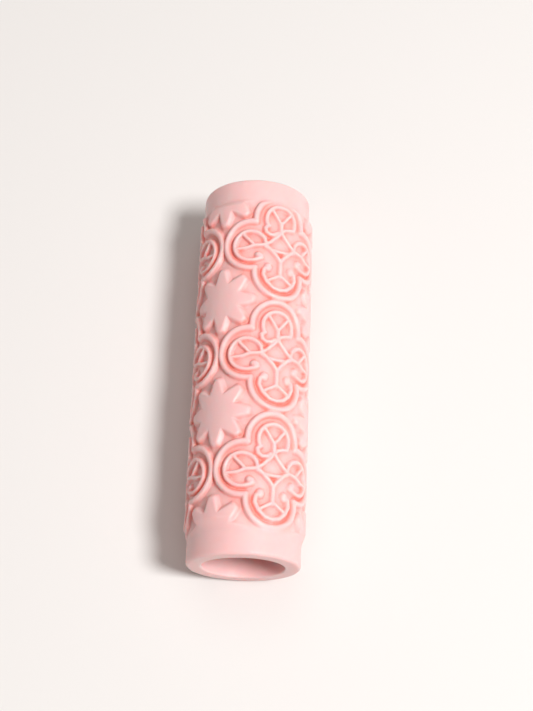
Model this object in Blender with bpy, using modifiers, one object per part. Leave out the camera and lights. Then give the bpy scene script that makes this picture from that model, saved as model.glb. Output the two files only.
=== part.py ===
"""Textured pattern roller: a one-piece moulded sleeve, open from end to end,
with a tile pattern of four-lobed frames, scrolls and stars standing on its outside.

The sleeve lies along Y with its axis through the origin. Every length is in metres.
"""

import math

import bmesh
import bpy
from mathutils import Matrix

# Overall sizes
LENGTH = 0.125
BAND_DIAMETER = 0.035
BORE_DIAMETER = 0.0255
OUTER_EDGE_ROUND = 0.0007
BORE_EDGE_ROUND = 0.0003

# The relief field and the plain bands beyond it
RELIEF_HEIGHT = 0.0013
FAR_BAND = 0.0079
NEAR_BAND = 0.0076
FIELD_RAMP = 0.0024
FIELD_HEADROOM = 1.3

# The repeat of the pattern
TILES_AROUND = 3
TILES_ALONG = 3
TILE_LENGTH = 0.0373
PATTERN_TURN_DEG = 27.5
PATTERN_SHIFT = 0.0011

# Shapes of one tile, as shares of half a tile
LOBE_CENTRE = 0.505
FRAME_RADIUS = 0.44
FRAME_HALF_WIDTH = 0.048
FAN_RADIUS = 0.25
FAN_HALF_WIDTH = 0.042
FAN_END_DEG = 122.0
FAN_HOOK_IN = 0.05
FAN_HOOK_BACK = 0.10
STEM_LAP = 0.017
SPOKE_DEG = 48.0
SPOKE_HALF_WIDTH = 0.036
ROSETTE_REACH = 0.29
ROSETTE_WAIST = 0.115
STAR_RAYS = 8
STAR_REACH = 0.60
STAR_NOTCH = 0.33
STAR_TIP_HALF_WIDTH = 0.035
STAR_DROP = 0.03
STAR_DRAFT = 0.93

# Heights as shares of the relief height: strokes that cross end at different levels
FRAME_LEVEL = 1.0
FAN_LEVEL = 0.93
SPOKE_LEVEL = 0.86
ROSETTE_LEVEL = 0.90
STEM_LEVEL = 0.80
STAR_LEVEL = 0.97

# How finely round shapes are divided
TURN_STEPS = 36
ROUND_STEPS = 3
FRAME_STEPS = 6
FAN_STEPS = 6
STAR_SLICE_DEG = 10.0
SUNK = 0.0001
ROOT_DEPTH = 0.0009
WELD = 0.000005
TINY = 0.000001
KEPT_SHARE = 0.55

BAND_RADIUS = BAND_DIAMETER / 2
BORE_RADIUS = BORE_DIAMETER / 2
HALF_LENGTH = LENGTH / 2
TILE_ANGLE = 2 * math.pi / TILES_AROUND
HALF_TILE_X = BAND_RADIUS * TILE_ANGLE / 2
HALF_TILE_Y = TILE_LENGTH / 2

# The soft pink moulding
PINK = (0.90, 0.50, 0.48, 1.0)
SATIN_ROUGHNESS = 0.38
CREASE_DEG = 35.0

OBJECT_NAME = "textured_pattern_roller"


def clear_scene():
    """Removes the objects of the startup scene."""
    for obj in list(bpy.data.objects):
        bpy.data.objects.remove(obj, do_unlink=True)


def new_collection(name):
    made = bpy.data.collections.new(name)
    bpy.context.scene.collection.children.link(made)
    return made


def mesh_object(name, mesh, home):
    obj = bpy.data.objects.new(name, mesh)
    home.objects.link(obj)
    return obj


def moulded_material():
    made = bpy.data.materials.new("pink_moulding")
    made.use_nodes = True
    shader = made.node_tree.nodes["Principled BSDF"]
    shader.inputs["Base Color"].default_value = PINK
    shader.inputs["Roughness"].default_value = SATIN_ROUGHNESS
    made.diffuse_color = PINK
    return made


def rounded_corner(centre, radius, start_deg, end_deg):
    """Points of a quarter round in the plane of the turned profile."""
    points = []
    for step in range(ROUND_STEPS + 1):
        angle = math.radians(start_deg + (end_deg - start_deg) * step / ROUND_STEPS)
        points.append((centre[0] + radius * math.cos(angle), centre[1] + radius * math.sin(angle)))
    return points


def tube_profile():
    """The wall cut along the axis: down the outside, back up the bore."""
    outer = BAND_RADIUS - OUTER_EDGE_ROUND
    inner = BORE_RADIUS + BORE_EDGE_ROUND
    high = HALF_LENGTH - OUTER_EDGE_ROUND
    inner_high = HALF_LENGTH - BORE_EDGE_ROUND
    points = rounded_corner((outer, high), OUTER_EDGE_ROUND, 90, 0)
    points += rounded_corner((outer, -high), OUTER_EDGE_ROUND, 0, -90)
    points += rounded_corner((inner, -inner_high), BORE_EDGE_ROUND, 270, 180)
    points += rounded_corner((inner, inner_high), BORE_EDGE_ROUND, 180, 90)
    return points


def field_profile():
    """The room that the relief may fill, ramped down to the plain bands at both ends."""
    top = BAND_RADIUS + RELIEF_HEIGHT * FIELD_HEADROOM
    bottom = BAND_RADIUS - ROOT_DEPTH
    low = BAND_RADIUS - SUNK
    far_end = HALF_LENGTH - FAR_BAND
    near_end = NEAR_BAND - HALF_LENGTH
    return [
        (bottom, far_end),
        (low, far_end),
        (top, far_end - FIELD_RAMP),
        (top, near_end + FIELD_RAMP),
        (low, near_end),
        (bottom, near_end),
    ]


def turned(name, profile, home):
    """A ring solid turned about the Y axis from (radius, height) points."""
    mesh = bpy.data.meshes.new(name)
    count = len(profile)
    edges = [(i, (i + 1) % count) for i in range(count)]
    mesh.from_pydata([(x, 0.0, z) for x, z in profile], edges, [])
    obj = mesh_object(name, mesh, home)
    screw = obj.modifiers.new("turn", "SCREW")
    screw.axis = "Z"
    screw.steps = TURN_STEPS
    screw.render_steps = TURN_STEPS
    screw.use_merge_vertices = True
    screw.merge_threshold = WELD
    screw.use_smooth_shade = False
    settle(obj)
    obj.data.transform(Matrix.Rotation(math.radians(-90.0), 4, "X"))
    face_out(obj.data)
    return obj


def settle(obj):
    """Replaces an object's mesh by the one its modifiers make."""
    graph = bpy.context.evaluated_depsgraph_get()
    made = bpy.data.meshes.new_from_object(obj.evaluated_get(graph))
    obj.modifiers.clear()
    obj.data = made


def face_out(mesh):
    """Closes the seams left by a turn or by caps, and turns every face outwards."""
    work = bmesh.new()
    work.from_mesh(mesh)
    bmesh.ops.remove_doubles(work, verts=work.verts, dist=WELD)
    bmesh.ops.recalc_face_normals(work, faces=work.faces)
    work.to_mesh(mesh)
    work.free()


def combine(obj, other, operation):
    """Joins or cuts one solid with another, then removes the second."""
    change = obj.modifiers.new(operation.lower(), "BOOLEAN")
    change.operation = operation
    change.solver = "EXACT"
    change.object = other
    bpy.context.view_layer.update()
    settle(obj)
    bpy.data.objects.remove(other, do_unlink=True)
    work = bmesh.new()
    work.from_mesh(obj.data)
    bmesh.ops.remove_doubles(work, verts=work.verts, dist=TINY)
    bmesh.ops.dissolve_degenerate(work, edges=work.edges, dist=TINY)
    work.to_mesh(obj.data)
    work.free()


def ridge(name, points, half_width, level, closed, home, flat_top=True):
    """A raised stroke in the flat tile: a six-sided bar, or a four-sided one with a
    sharp crest, half of it under the surface."""
    curve = bpy.data.curves.new(name, "CURVE")
    curve.dimensions = "3D"
    curve.bevel_depth = half_width * HALF_TILE_X
    curve.bevel_resolution = 1 if flat_top else 0
    curve.use_fill_caps = True
    spline = curve.splines.new("POLY")
    spline.points.add(len(points) - 1)
    for point, (u, v) in zip(spline.points, points):
        point.co = (u * HALF_TILE_X, v * HALF_TILE_Y, 0.0, 1.0)
    spline.use_cyclic_u = closed
    guide = mesh_object(name, curve, home)
    bpy.context.view_layer.update()
    graph = bpy.context.evaluated_depsgraph_get()
    mesh = bpy.data.meshes.new_from_object(guide.evaluated_get(graph))
    bpy.data.objects.remove(guide, do_unlink=True)
    top = max(vertex.co.z for vertex in mesh.vertices)
    stretch = (level * RELIEF_HEIGHT + SUNK) / top
    for vertex in mesh.vertices:
        vertex.co.z = vertex.co.z * stretch - SUNK
    face_out(mesh)
    return mesh_object(name, mesh, home)


def arc(centre, radius, start_deg, end_deg, steps):
    points = []
    for step in range(steps + 1):
        angle = math.radians(start_deg + (end_deg - start_deg) * step / steps)
        points.append((centre[0] + radius * math.cos(angle), centre[1] + radius * math.sin(angle)))
    return points


def turned_point(point, quarter):
    """The point turned by quarter turns about the middle of the tile."""
    u, v = point
    for _ in range(quarter):
        u, v = -v, u
    return (u, v)


def frame_outline():
    """Four lobes in one closed line, meeting in cusps on the diagonals."""
    half_gap = LOBE_CENTRE * math.sqrt(0.5)
    cusp = math.degrees(math.acos(half_gap / FRAME_RADIUS))
    reach = 180 - 45 - cusp
    points = []
    for quarter in range(4):
        lobe = arc((LOBE_CENTRE, 0.0), FRAME_RADIUS, -reach, reach, FRAME_STEPS)
        points += [turned_point(point, quarter) for point in lobe[:-1]]
    return points


def fan_strokes(quarter):
    """One lobe's filling: a scroll with hooked ends, and a stem that forks into two spokes."""
    centre = (LOBE_CENTRE, 0.0)
    scroll = arc(centre, FAN_RADIUS, -FAN_END_DEG, FAN_END_DEG, FAN_STEPS)
    upper = arc(centre, FAN_RADIUS + STEM_LAP / 2, SPOKE_DEG, SPOKE_DEG, 1)[0]
    lower = (upper[0], -upper[1])
    first, last = scroll[0], scroll[-1]
    hooked = [(first[0] + FAN_HOOK_IN, first[1] + FAN_HOOK_BACK)] + scroll
    hooked.append((last[0] + FAN_HOOK_IN, last[1] - FAN_HOOK_BACK))
    strokes = {
        "scroll": hooked,
        "spokes": [upper, centre, lower],
        "stem": [(ROSETTE_REACH - STEM_LAP, 0.0), (LOBE_CENTRE + STEM_LAP, 0.0)],
    }
    return {key: [turned_point(p, quarter) for p in line] for key, line in strokes.items()}


def rosette_outline():
    """The small four-pointed ring in the middle of the tile."""
    points = []
    for quarter in range(4):
        points.append(turned_point((ROSETTE_REACH, 0.0), quarter))
        points.append(turned_point((ROSETTE_WAIST, ROSETTE_WAIST), quarter))
    return points


def quatrefoil(home):
    """The four-lobed frame with its filling, flat, about the middle of its tile."""
    whole = ridge("frame", frame_outline(), FRAME_HALF_WIDTH, FRAME_LEVEL, True, home)
    pieces = [ridge("rosette", rosette_outline(), SPOKE_HALF_WIDTH, ROSETTE_LEVEL, True, home, False)]
    for quarter in range(4):
        lines = fan_strokes(quarter)
        for key, level in (("spokes", SPOKE_LEVEL), ("stem", STEM_LEVEL)):
            pieces.append(ridge(key, lines[key], SPOKE_HALF_WIDTH, level, False, home, False))
        pieces.append(ridge("scroll", lines["scroll"], FAN_HALF_WIDTH, FAN_LEVEL, False, home))
    for piece in pieces:
        combine(whole, piece, "UNION")
    return whole


def star_outline(scale):
    """Eight rays with blunt tips round the corner of a tile."""
    points = []
    for ray in range(STAR_RAYS):
        middle = 2 * math.pi * ray / STAR_RAYS
        for side in (-1, 1):
            reach = STAR_REACH * scale
            across = side * STAR_TIP_HALF_WIDTH * scale
            u = reach * math.cos(middle) - across * math.sin(middle)
            v = reach * math.sin(middle) + across * math.cos(middle)
            points.append((u, v))
        notch = middle + math.pi / STAR_RAYS
        points.append((STAR_NOTCH * scale * math.cos(notch), STAR_NOTCH * scale * math.sin(notch)))
    return points


def star(home):
    """The flat-topped star with drafted sides, sliced across so that it can bend."""
    work = bmesh.new()
    bottom = []
    for u, v in star_outline(1.0):
        bottom.append(work.verts.new((u * HALF_TILE_X, v * HALF_TILE_Y, -ROOT_DEPTH)))
    base = work.faces.new(bottom)
    raised = bmesh.ops.extrude_face_region(work, geom=[base])["geom"]
    top = [item for item in raised if isinstance(item, bmesh.types.BMVert)]
    rise = ROOT_DEPTH + STAR_LEVEL * RELIEF_HEIGHT
    bmesh.ops.scale(work, verts=top, vec=(STAR_DRAFT, STAR_DRAFT, 1.0))
    bmesh.ops.translate(work, verts=top, vec=(0.0, 0.0, rise))
    reach_deg = math.degrees(STAR_REACH * TILE_ANGLE / 2)
    slices = int(reach_deg / STAR_SLICE_DEG)
    for index in range(-slices, slices + 1):
        cut_x = BAND_RADIUS * math.radians(index * STAR_SLICE_DEG)
        geometry = work.verts[:] + work.edges[:] + work.faces[:]
        bmesh.ops.bisect_plane(
            work, geom=geometry, plane_co=(cut_x, 0.0, 0.0), plane_no=(1.0, 0.0, 0.0)
        )
    bmesh.ops.recalc_face_normals(work, faces=work.faces)
    bmesh.ops.triangulate(work, faces=work.faces)
    mesh = bpy.data.meshes.new("star")
    work.to_mesh(mesh)
    work.free()
    return mesh_object("star", mesh, home)


def wrapped(flat, name, turn, shift, home):
    """A copy of a flat shape bent round the sleeve at an angle and a place along it."""
    work = bmesh.new()
    work.from_mesh(flat.data)
    bmesh.ops.dissolve_degenerate(work, edges=work.edges, dist=TINY)
    bmesh.ops.triangulate(work, faces=work.faces)
    mesh = bpy.data.meshes.new(name)
    work.to_mesh(mesh)
    work.free()
    for vertex in mesh.vertices:
        angle = vertex.co.x / BAND_RADIUS + turn
        radius = BAND_RADIUS + vertex.co.z
        along = vertex.co.y + shift
        vertex.co = (radius * math.sin(angle), along, radius * math.cos(angle))
    return mesh_object(name, mesh, home)


def column_turn(column):
    return math.radians(PATTERN_TURN_DEG) + column * TILE_ANGLE


def row_shift(row):
    return PATTERN_SHIFT + (row - (TILES_ALONG - 1) / 2) * TILE_LENGTH


def pattern(home):
    """Every tile of the relief, those at the ends trimmed to the field."""
    quatrefoil_flat = quatrefoil(home)
    star_flat = star(home)
    ornaments = []
    for column in range(TILES_AROUND):
        turn = column_turn(column)
        for row in range(TILES_ALONG):
            tile = wrapped(quatrefoil_flat, "tile", turn, row_shift(row), home)
            ornaments.append(trimmed(tile, row in (0, TILES_ALONG - 1), home))
        for row in range(TILES_ALONG + 1):
            shift = row_shift(row) - HALF_TILE_Y - STAR_DROP * HALF_TILE_Y
            ray_star = wrapped(star_flat, "star", turn + TILE_ANGLE / 2, shift, home)
            ornaments.append(trimmed(ray_star, row in (0, TILES_ALONG), home))
    bpy.data.objects.remove(quatrefoil_flat, do_unlink=True)
    bpy.data.objects.remove(star_flat, do_unlink=True)
    return ornaments


def trimmed(ornament, at_an_end, home):
    """The ornament as it is, or cut to the ramps that end the relief field."""
    if at_an_end:
        field = turned("field", field_profile(), home)
        combine(ornament, field, "INTERSECT")
    return ornament


def thin_out(obj):
    """Removes the smallest faces, which the joins leave along the foot of every stroke."""
    fewer = obj.modifiers.new("thin", "DECIMATE")
    fewer.decimate_type = "COLLAPSE"
    fewer.ratio = KEPT_SHARE
    fewer.use_collapse_triangulate = True
    settle(obj)


def roller_sleeve(home, helpers):
    """The sleeve with its relief, as one closed body."""
    sleeve = turned("roller_sleeve", tube_profile(), home)
    for ornament in pattern(helpers):
        combine(sleeve, ornament, "UNION")
    thin_out(sleeve)
    sleeve.data.materials.clear()
    sleeve.data.materials.append(moulded_material())
    sleeve.data.shade_smooth()
    sleeve.data.set_sharp_from_angle(angle=math.radians(CREASE_DEG))
    return sleeve


def build():
    clear_scene()
    home = new_collection(OBJECT_NAME)
    helpers = new_collection("cutters")
    helpers.hide_render = True
    roller_sleeve(home, helpers)


build()
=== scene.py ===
"""Textured pattern roller: a one-piece pink moulded sleeve lying on a pale table."""

import math

import bpy
import numpy as np
from mathutils import Matrix, Vector

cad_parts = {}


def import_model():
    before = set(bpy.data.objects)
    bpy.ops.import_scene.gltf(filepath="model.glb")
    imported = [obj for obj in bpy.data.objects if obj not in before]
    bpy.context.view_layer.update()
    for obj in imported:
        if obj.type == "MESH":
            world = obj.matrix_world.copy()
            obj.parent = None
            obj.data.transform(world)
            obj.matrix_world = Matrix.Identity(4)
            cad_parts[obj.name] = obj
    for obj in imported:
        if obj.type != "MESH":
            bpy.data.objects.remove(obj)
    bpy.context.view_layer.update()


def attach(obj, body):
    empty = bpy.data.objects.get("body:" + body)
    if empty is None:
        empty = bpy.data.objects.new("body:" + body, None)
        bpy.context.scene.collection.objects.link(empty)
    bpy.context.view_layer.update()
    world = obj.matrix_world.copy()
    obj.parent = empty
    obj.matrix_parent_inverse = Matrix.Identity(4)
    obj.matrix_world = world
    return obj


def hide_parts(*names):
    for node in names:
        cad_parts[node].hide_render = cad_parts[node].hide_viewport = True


# Sizes, in metres
R = 0.0175
LENGTH = 0.125
BORE = 0.01275
RELIEF = 0.0013
TILE_LENGTH = 0.0373
SHIFT = 0.0011
TURN = math.radians(27.5)
FAR_BAND = 0.0079
NEAR_BAND = 0.0076
EDGE = 0.0010
BORE_EDGE = 0.00045
FLOOR_Z = -0.01882

# How finely the surface is divided: columns round it, and metres between rows
AROUND = 396
ROW_STEP = 0.00028

# The tile, as shares of half a tile: u runs round the sleeve and v towards its far end
LOBE = 0.51
FRAME = 0.45
SPOKE = 0.040
STAR_TIP = 0.585
STAR_NOTCH = 0.365
STAR_DROP = 0.03

PINK = (0.94, 0.60, 0.59, 1.0)
# Painted shade: the deeper salmon pink laid into grooves and recesses where shade falls
PINK_PAINTED_SHADE = (0.88, 0.20, 0.14, 1.0)
# Painted highlight: the paler pink laid on thin crests where light scatters out
PINK_PAINTED_HIGHLIGHT = (0.98, 0.75, 0.745, 1.0)
FLOOR_COLOUR = (0.80, 0.79, 0.77, 1.0)

# Light: powers in watts, and the warm light that fills the shadows
KEY_TOWARD = (0.54, -0.22, 1.0)
KEY_AWAY = 1.6
KEY_SIZE = 0.42
KEY_POWER = 25.0
KEY_COLOUR = (1.0, 0.985, 0.985)
CEILING_PLACE = (-0.1, 0.25, 1.5)
CEILING_SIZE = 1.5
CEILING_POWER = 6.0
CEILING_COLOUR = (1.0, 0.97, 0.95)
ROOM_COLOUR = (1.0, 0.84, 0.78, 1.0)
ROOM_STRENGTH = 0.17

# Camera: its place in sleeve radii, and where it looks
CAMERA_PLACE = (0.58735, -9.00563, 22.913)
CAMERA_PITCH = math.radians(67.613)
CAMERA_YAW = math.radians(1.8995)
CAMERA_LENS = 67.97


def quarter(points, turns):
    """The points turned by quarter turns about the middle of the tile."""
    for _ in range(turns):
        points = [(-v, u) for u, v in points]
    return points


def along(u, v, points):
    """Distance from each place to a line of straight pieces."""
    best = np.full(u.shape, 9.0)
    for (a, b), (c, d) in zip(points[:-1], points[1:]):
        du, dv = c - a, d - b
        size = du * du + dv * dv
        t = np.clip(((u - a) * du + (v - b) * dv) / size, 0.0, 1.0)
        best = np.minimum(best, np.hypot(u - a - t * du, v - b - t * dv))
    return best


def arc(centre, radius, start, end, steps=22):
    angles = np.radians(np.linspace(start, end, steps))
    return [(centre[0] + radius * math.cos(a), centre[1] + radius * math.sin(a)) for a in angles]


def rounded(distance, half_width, power=2.6, flat=1.5):
    """The height across a stroke: a rounded top and firm sides."""
    share = np.clip(distance / half_width, 0.0, 1.0)
    return (1.0 - share**power) ** (1.0 / flat)


def smooth(t):
    t = np.clip(t, 0.0, 1.0)
    return t * t * (3.0 - 2.0 * t)


def frame_height(u, v):
    """Four round lobes that meet in cusps: steep outside, easier inside."""
    cusp = math.degrees(math.acos(LOBE * math.sqrt(0.5) / FRAME))
    lobe = arc((LOBE, 0.0), FRAME, cusp - 135, 135 - cusp, 20)
    outline = []
    for n in range(4):
        outline += quarter(lobe, n)[:-1]
    outline.append(outline[0])
    distance = along(u, v, outline)
    lobes = [np.hypot(u - a, v - b) - FRAME for a, b in quarter_set((LOBE, 0.0))]
    outside = np.minimum.reduce(lobes + [np.hypot(u, v) - 0.35]) > 0
    return np.where(outside, rounded(distance, 0.060, 2.2, 1.5), rounded(distance, 0.075, 1.9, 1.2))


def quarter_set(point):
    """The point and its three quarter turns."""
    return [quarter([point], n)[0] for n in range(4)]


def far_lobe_strokes():
    """(points, half width, height) of an arch that curls in on the left and turns to the stem on the right."""
    arch = arc((0.0, 0.505), 0.270, -26, 206, 26)
    curl = [(-0.225, 0.38), (-0.285, 0.33), (-0.27, 0.25), (-0.20, 0.205), (-0.12, 0.215), (-0.06, 0.26)]
    foot = [(0.225, 0.38), (0.14, 0.365), (0.06, 0.335), (0.0, 0.28)]
    left_spoke = [(0.0, 0.44), (-0.165, 0.68)]
    right_spoke = [(0.0, 0.44), (0.18, 0.67)]
    stem = [(0.0, 0.46), (0.0, 0.27)]
    strokes = [(arch, 0.050, 0.95), (curl, 0.050, 0.92), (foot, 0.044, 0.88)]
    return strokes + [(left_spoke, SPOKE, 0.88), (right_spoke, SPOKE, 0.88), (stem, 0.052, 0.85)]


def side_lobe_strokes(side):
    """The same for the left (-1) or the right (1) lobe: an arch with a ball at its near end, and two spokes."""
    arch = arc((0.525, -0.03), 0.278, 150, -128, 28)
    foot = [(0.29, 0.10), (0.27, 0.04), (0.28, 0.0), (0.46, -0.02)]
    ball = [(0.357, -0.24), (0.365, -0.215), (0.39, -0.20)]
    far_spoke = [(0.46, -0.02), (0.67, 0.20)]
    near_spoke = [(0.46, -0.02), (0.60, -0.075), (0.79, -0.09)]
    strokes = [(arch, 0.050, 0.95), (foot, 0.046, 0.88), (ball, 0.074, 0.95)]
    strokes += [(far_spoke, SPOKE, 0.88), (near_spoke, 0.042, 0.88)]
    return [(mirrored(points, side), width, level) for points, width, level in strokes]


def near_lobe_strokes():
    """The same for the near lobe: two sides with ball ends that meet in a point, two spokes and the stem."""
    edge = [(0.22, -0.42), (0.285, -0.46), (0.30, -0.56), (0.235, -0.69), (0.12, -0.79), (0.0, -0.82)]
    ball = [(0.215, -0.405), (0.22, -0.43)]
    spoke = [(0.0, -0.54), (0.20, -0.66)]
    strokes = [([(0.0, -0.56), (0.0, -0.28)], 0.050, 0.85)]
    for side in (-1.0, 1.0):
        strokes.append((mirrored(edge, side), 0.050, 0.93))
        strokes.append((mirrored(ball, side), 0.080, 0.95))
        strokes.append((mirrored(spoke, side), SPOKE, 0.88))
    return strokes


def mirrored(points, side):
    return [(side * a, b) for a, b in points]


def rosette_strokes():
    """The four-pointed ring with a low bar, in the middle of the tile."""
    ring = []
    for n in range(4):
        ring += quarter([(0.28, 0.0), (0.19, 0.065), (0.13, 0.13), (0.065, 0.19)], n)
    ring.append(ring[0])
    bar = [(-0.27, -0.03), (-0.16, -0.085), (0.0, -0.10), (0.16, -0.085), (0.27, -0.03)]
    return [(ring, 0.046, 0.90), (bar, 0.044, 0.82)]


def ornament_height(u, v):
    """Every stroke inside the frame: where they cross, the higher one shows."""
    height = np.zeros(u.shape)
    strokes = far_lobe_strokes() + side_lobe_strokes(-1.0) + side_lobe_strokes(1.0)
    for points, half_width, level in strokes + near_lobe_strokes() + rosette_strokes():
        height = np.maximum(height, level * rounded(along(u, v, points), half_width, 2.2, 1.4))
    return height


def star_height(u, v):
    """Eight flat-topped rays round the corner of four tiles."""
    su = np.where(u > 0, u - 1.0, u + 1.0)
    sv = np.where(v > -STAR_DROP, v - 1.0 + STAR_DROP, v + 1.0 + STAR_DROP)
    radius = np.hypot(su, sv)
    sector = math.pi / 4
    angle = np.abs((np.arctan2(sv, su) + sector / 2) % sector - sector / 2)
    a, b = radius * np.cos(angle), radius * np.sin(angle)
    notch = (STAR_NOTCH * math.cos(sector / 2), STAR_NOTCH * math.sin(sector / 2))
    tip = (STAR_TIP, 0.066)
    run, rise = tip[0] - notch[0], tip[1] - notch[1]
    side = ((b - notch[1]) * run - (a - notch[0]) * rise) / math.hypot(run, rise)
    end = a - STAR_TIP
    blend = np.clip(0.5 + 0.5 * (side - end) / 0.05, 0.0, 1.0)
    inside = end + (side - end) * blend + 0.05 * blend * (1.0 - blend)
    return 0.98 * smooth(0.5 - inside / 0.085) ** 0.8


def relief(theta, y):
    """Height of the pattern above the sleeve at an angle and a place along it."""
    half_angle = math.pi / 3
    u = ((theta - TURN) / half_angle + 1.0) % 2.0 - 1.0
    v = ((y - SHIFT) / (TILE_LENGTH / 2) + 1.0) % 2.0 - 1.0
    height = np.maximum.reduce([frame_height(u, v), ornament_height(u, v), star_height(u, v)])
    far = smooth((LENGTH / 2 - FAR_BAND + 0.0006 - y) / 0.0026)
    near = smooth((y + LENGTH / 2 - NEAR_BAND + 0.0008) / 0.0048)
    return RELIEF * height * far * near


def rings():
    """(along, radius, share of relief) down the outside, round both ends and along the bore."""
    half = LENGTH / 2
    rows = []
    for y in np.linspace(-half + EDGE, half - EDGE, int((LENGTH - 2 * EDGE) / ROW_STEP)):
        rows.append((y, R, 1.0))
    for a in np.linspace(0, math.pi / 2, 7)[1:]:
        rows.append((half - EDGE + EDGE * math.sin(a), R - EDGE + EDGE * math.cos(a), 0.0))
    for r in np.linspace(R - EDGE, BORE + BORE_EDGE, 8)[1:]:
        rows.append((half, r, 0.0))
    for a in np.linspace(0, math.pi / 2, 5)[1:]:
        rows.append((half - BORE_EDGE + BORE_EDGE * math.cos(a), BORE + BORE_EDGE - BORE_EDGE * math.sin(a), 0.0))
    for y in np.linspace(half - BORE_EDGE, BORE_EDGE - half, 46)[1:]:
        rows.append((y, BORE, 0.0))
    for a in np.linspace(0, math.pi / 2, 5)[1:]:
        rows.append((-half + BORE_EDGE - BORE_EDGE * math.sin(a), BORE + BORE_EDGE - BORE_EDGE * math.cos(a), 0.0))
    for r in np.linspace(BORE + BORE_EDGE, R - EDGE, 8)[1:]:
        rows.append((-half, r, 0.0))
    for a in np.linspace(0, math.pi / 2, 7)[1:-1]:
        rows.append((-half + EDGE - EDGE * math.cos(a), R - EDGE + EDGE * math.sin(a), 0.0))
    return np.array(rows)


def sleeve_mesh():
    """One closed surface: the rings joined in a loop, so that the outside runs on into the bore."""
    rows = rings()
    theta = np.linspace(0, 2 * math.pi, AROUND, endpoint=False)
    grid_t, grid_y = np.meshgrid(theta, rows[:, 0])
    radius = rows[:, 1][:, None] + relief(grid_t, grid_y) * rows[:, 2][:, None]
    points = np.stack([radius * np.sin(grid_t), grid_y, radius * np.cos(grid_t)], -1).reshape(-1, 3)
    count = len(rows)
    i, j = np.meshgrid(np.arange(count), np.arange(AROUND), indexing="ij")
    ni, nj = (i + 1) % count, (j + 1) % AROUND
    quads = np.stack([i * AROUND + j, ni * AROUND + j, ni * AROUND + nj, i * AROUND + nj], -1).reshape(-1, 4)
    mesh = bpy.data.meshes.new("sleeve")
    mesh.from_pydata(points.tolist(), [], quads.tolist())
    mesh.shade_smooth()
    mesh.update()
    return mesh


def node(tree, kind, **values):
    made = tree.nodes.new(kind)
    for key, value in values.items():
        made.inputs[key.replace("_", " ")].default_value = value
    return made


def moulding():
    """Soft pink translucent moulding: nearly even own colour, satin skin with faint unevenness; painted shade
    deepens the grooves to salmon and a painted highlight pales the thin crests.
    """
    made = bpy.data.materials.new("pink_moulding")
    made.use_nodes = True
    tree = made.node_tree
    shader = tree.nodes["Principled BSDF"]
    shader.inputs["Roughness"].default_value = 0.40
    shader.inputs["IOR"].default_value = 1.45
    shader.inputs["Subsurface Weight"].default_value = 1.0
    shader.inputs["Subsurface Radius"].default_value = (1.0, 0.34, 0.28)
    shader.inputs["Subsurface Scale"].default_value = 0.0016
    place = node(tree, "ShaderNodeTexCoord")
    cloud = node(tree, "ShaderNodeTexNoise", Scale=70.0, Detail=3.0, Roughness=0.5)
    tree.links.new(place.outputs["Object"], cloud.inputs["Vector"])
    tint = tree.nodes.new("ShaderNodeMix")
    tint.data_type = "RGBA"
    tint.inputs["A"].default_value = (PINK[0] * 0.97, PINK[1] * 0.95, PINK[2] * 0.95, 1.0)
    tint.inputs["B"].default_value = (PINK[0] * 1.02, PINK[1] * 1.04, PINK[2] * 1.04, 1.0)
    tree.links.new(cloud.outputs["Fac"], tint.inputs["Factor"])
    # Painted shade: an ambient occlusion mask tints grooves and recesses toward the deeper salmon pink
    shade_occlusion = node(tree, "ShaderNodeAmbientOcclusion", Distance=0.0022)
    shade_occlusion.samples = 8
    painted_shade_amount = tree.nodes.new("ShaderNodeMapRange")
    painted_shade_amount.inputs["From Min"].default_value = 0.52
    painted_shade_amount.inputs["From Max"].default_value = 1.0
    painted_shade_amount.inputs["To Min"].default_value = 1.0
    painted_shade_amount.inputs["To Max"].default_value = 0.0
    tree.links.new(shade_occlusion.outputs["AO"], painted_shade_amount.inputs["Value"])
    painted_shade_mix = tree.nodes.new("ShaderNodeMix")
    painted_shade_mix.data_type = "RGBA"
    painted_shade_mix.inputs["B"].default_value = PINK_PAINTED_SHADE
    tree.links.new(painted_shade_amount.outputs["Result"], painted_shade_mix.inputs["Factor"])
    tree.links.new(tint.outputs["Result"], painted_shade_mix.inputs["A"])
    # Painted highlight: an inside ambient occlusion mask tints thin crests and edges toward the paler pink
    highlight_occlusion = node(tree, "ShaderNodeAmbientOcclusion", Distance=0.0009)
    highlight_occlusion.samples = 8
    highlight_occlusion.inside = True
    # Strength of the painted highlight, greatest on the thinnest crests
    edge = tree.nodes.new("ShaderNodeMapRange")
    edge.inputs["From Min"].default_value = 0.35
    edge.inputs["From Max"].default_value = 0.95
    edge.inputs["To Min"].default_value = 0.8
    edge.inputs["To Max"].default_value = 0.0
    tree.links.new(highlight_occlusion.outputs["AO"], edge.inputs["Value"])
    painted_highlight_mix = tree.nodes.new("ShaderNodeMix")
    painted_highlight_mix.data_type = "RGBA"
    painted_highlight_mix.inputs["B"].default_value = PINK_PAINTED_HIGHLIGHT
    tree.links.new(edge.outputs["Result"], painted_highlight_mix.inputs["Factor"])
    tree.links.new(painted_shade_mix.outputs["Result"], painted_highlight_mix.inputs["A"])
    tree.links.new(painted_highlight_mix.outputs["Result"], shader.inputs["Base Color"])
    grain = node(tree, "ShaderNodeTexNoise", Scale=900.0, Detail=2.0, Roughness=0.6)
    tree.links.new(place.outputs["Object"], grain.inputs["Vector"])
    bump = node(tree, "ShaderNodeBump", Strength=0.12, Distance=0.0002)
    tree.links.new(grain.outputs["Fac"], bump.inputs["Height"])
    tree.links.new(bump.outputs["Normal"], shader.inputs["Normal"])
    return made


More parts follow.
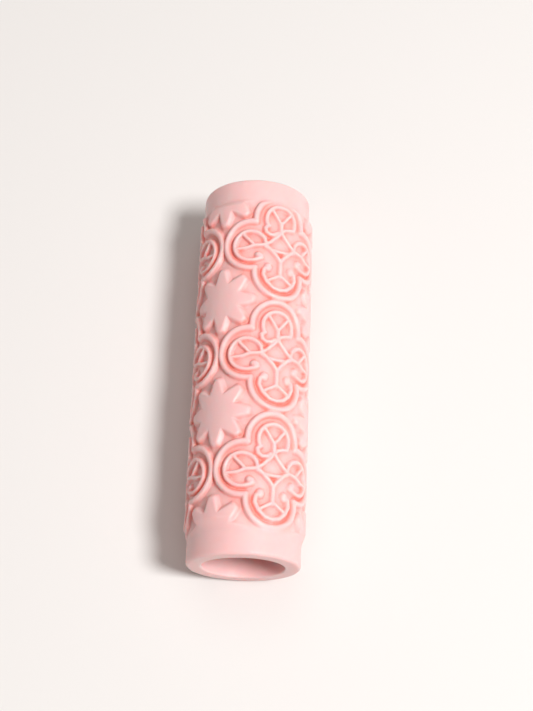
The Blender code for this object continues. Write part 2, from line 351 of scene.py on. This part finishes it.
def floor():
    made = bpy.data.materials.new("pale_table")
    made.use_nodes = True
    shader = made.node_tree.nodes["Principled BSDF"]
    shader.inputs["Base Color"].default_value = FLOOR_COLOUR
    shader.inputs["Roughness"].default_value = 0.8
    mesh = bpy.data.meshes.new("table")
    s = 3.0
    mesh.from_pydata([(-s, -s, FLOOR_Z), (s, -s, FLOOR_Z), (s, s, FLOOR_Z), (-s, s, FLOOR_Z)], [], [(0, 1, 2, 3)])
    mesh.materials.append(made)
    obj = bpy.data.objects.new("table", mesh)
    bpy.context.scene.collection.objects.link(obj)


def aimed(position, target):
    return (Vector(target) - Vector(position)).to_track_quat("-Z", "Y").to_matrix().to_4x4()


def area_light(name, position, size, power, colour):
    data = bpy.data.lights.new(name, "AREA")
    data.shape = "DISK"
    data.size = size
    data.energy = power
    data.color = colour
    obj = bpy.data.objects.new(name, data)
    obj.matrix_world = Matrix.Translation(position) @ aimed(position, (0, 0, 0))
    bpy.context.scene.collection.objects.link(obj)


def lights():
    toward = Vector(KEY_TOWARD).normalized()
    area_light("key", toward * KEY_AWAY, KEY_SIZE, KEY_POWER, KEY_COLOUR)
    area_light("ceiling", Vector(CEILING_PLACE), CEILING_SIZE, CEILING_POWER, CEILING_COLOUR)
    world = bpy.data.worlds.new("room")
    world.use_nodes = True
    back = world.node_tree.nodes["Background"]
    back.inputs["Color"].default_value = ROOM_COLOUR
    back.inputs["Strength"].default_value = ROOM_STRENGTH
    bpy.context.scene.world = world


def camera():
    """Looks down along the sleeve from above its near end."""
    pitch, yaw = CAMERA_PITCH, CAMERA_YAW
    forward = Vector((-math.cos(pitch) * math.sin(yaw), math.cos(pitch) * math.cos(yaw), -math.sin(pitch)))
    right = Vector((math.cos(yaw), math.sin(yaw), 0.0))
    up = right.cross(forward)
    turn = Matrix((right, up, -forward)).transposed().to_4x4()
    data = bpy.data.cameras.new("camera")
    data.sensor_fit = "AUTO"
    data.sensor_width = 36.0
    data.lens = CAMERA_LENS
    obj = bpy.data.objects.new("camera", data)
    obj.matrix_world = Matrix.Translation(Vector(CAMERA_PLACE) * R) @ turn
    bpy.context.scene.collection.objects.link(obj)
    bpy.context.scene.camera = obj


def main():
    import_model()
    sleeve = bpy.data.objects.new("sleeve", sleeve_mesh())
    bpy.context.scene.collection.objects.link(sleeve)
    sleeve.data.materials.append(moulding())
    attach(sleeve, "root")
    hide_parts("roller_sleeve")
    floor()
    lights()
    camera()
    bpy.context.scene.view_settings.view_transform = "Standard"


main()
